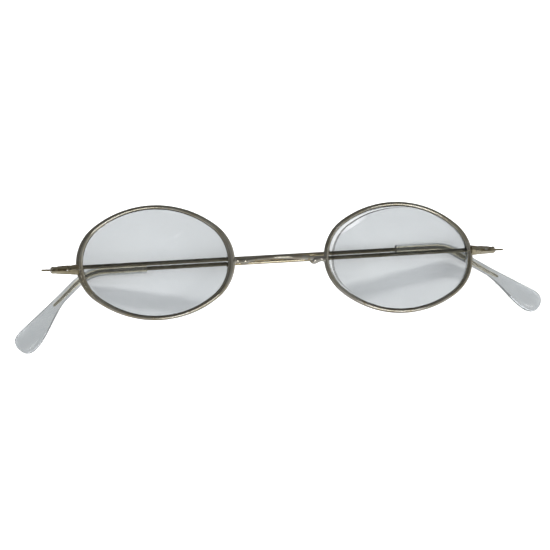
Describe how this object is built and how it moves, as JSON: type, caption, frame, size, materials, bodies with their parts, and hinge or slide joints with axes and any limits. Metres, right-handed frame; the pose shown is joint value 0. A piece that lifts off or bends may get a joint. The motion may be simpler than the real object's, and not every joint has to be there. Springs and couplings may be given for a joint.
{
  "type": "wire eyeglasses",
  "caption": "Fine gold wire spectacles with clear oval lenses, an arched bridge and slim temples with clear paddle tips, lying folded on screw hinges.",
  "frame": {"origin": "middle of the line between the two lens centres, in the plane of the rims: the middle of the space the nose takes", "axes": "+X to the wearer's left, +Y to the tops of the lenses, +Z out of the front, away from the face"},
  "size_m": [0.1441, 0.0375, 0.011],
  "materials": {
    "gold_wire": "polished pale gold",
    "gold_joint": "polished, slightly darker gold",
    "screw_steel": "fine turned steel",
    "lens_glass": "clear, polished",
    "clear_tip": "clear, slightly clouded"
  },
  "bodies": {
    "front": {"rim_right": "gold_wire", "rim_left": "gold_wire", "lens_right": "lens_glass", "lens_left": "lens_glass", "bridge": "gold_wire", "bridge_foot_right": "gold_wire", "bridge_foot_left": "gold_wire", "block_upper_right": "gold_joint", "block_lower_right": "gold_joint", "block_upper_left": "gold_joint", "block_lower_left": "gold_joint", "closing_screw_right": "screw_steel", "closing_screw_left": "screw_steel", "hinge_screw_right": "screw_steel", "hinge_screw_left": "screw_steel"},
    "right_temple": {"temple_joint_right": "gold_joint", "temple_wire_right": "gold_wire", "temple_tip_right": "clear_tip"},
    "left_temple": {"temple_joint_left": "gold_joint", "temple_wire_left": "gold_wire", "temple_tip_left": "clear_tip"}
  },
  "joints": [
    {"name": "right_temple_hinge", "type": "hinge", "parent": "front", "child": "right_temple", "pos_m": [-0.0584, -0.00135, 0], "axis": [0, 1, 0], "range_deg": [0, 92]},
    {"name": "left_temple_hinge", "type": "hinge", "parent": "front", "child": "left_temple", "pos_m": [0.0584, 0.0015, 0], "axis": [0, -1, 0], "range_deg": [0, 92]}
  ],
  "couplings": [
    {"joint": "left_temple_hinge", "follows": "right_temple_hinge", "ratio": 1}
  ]
}
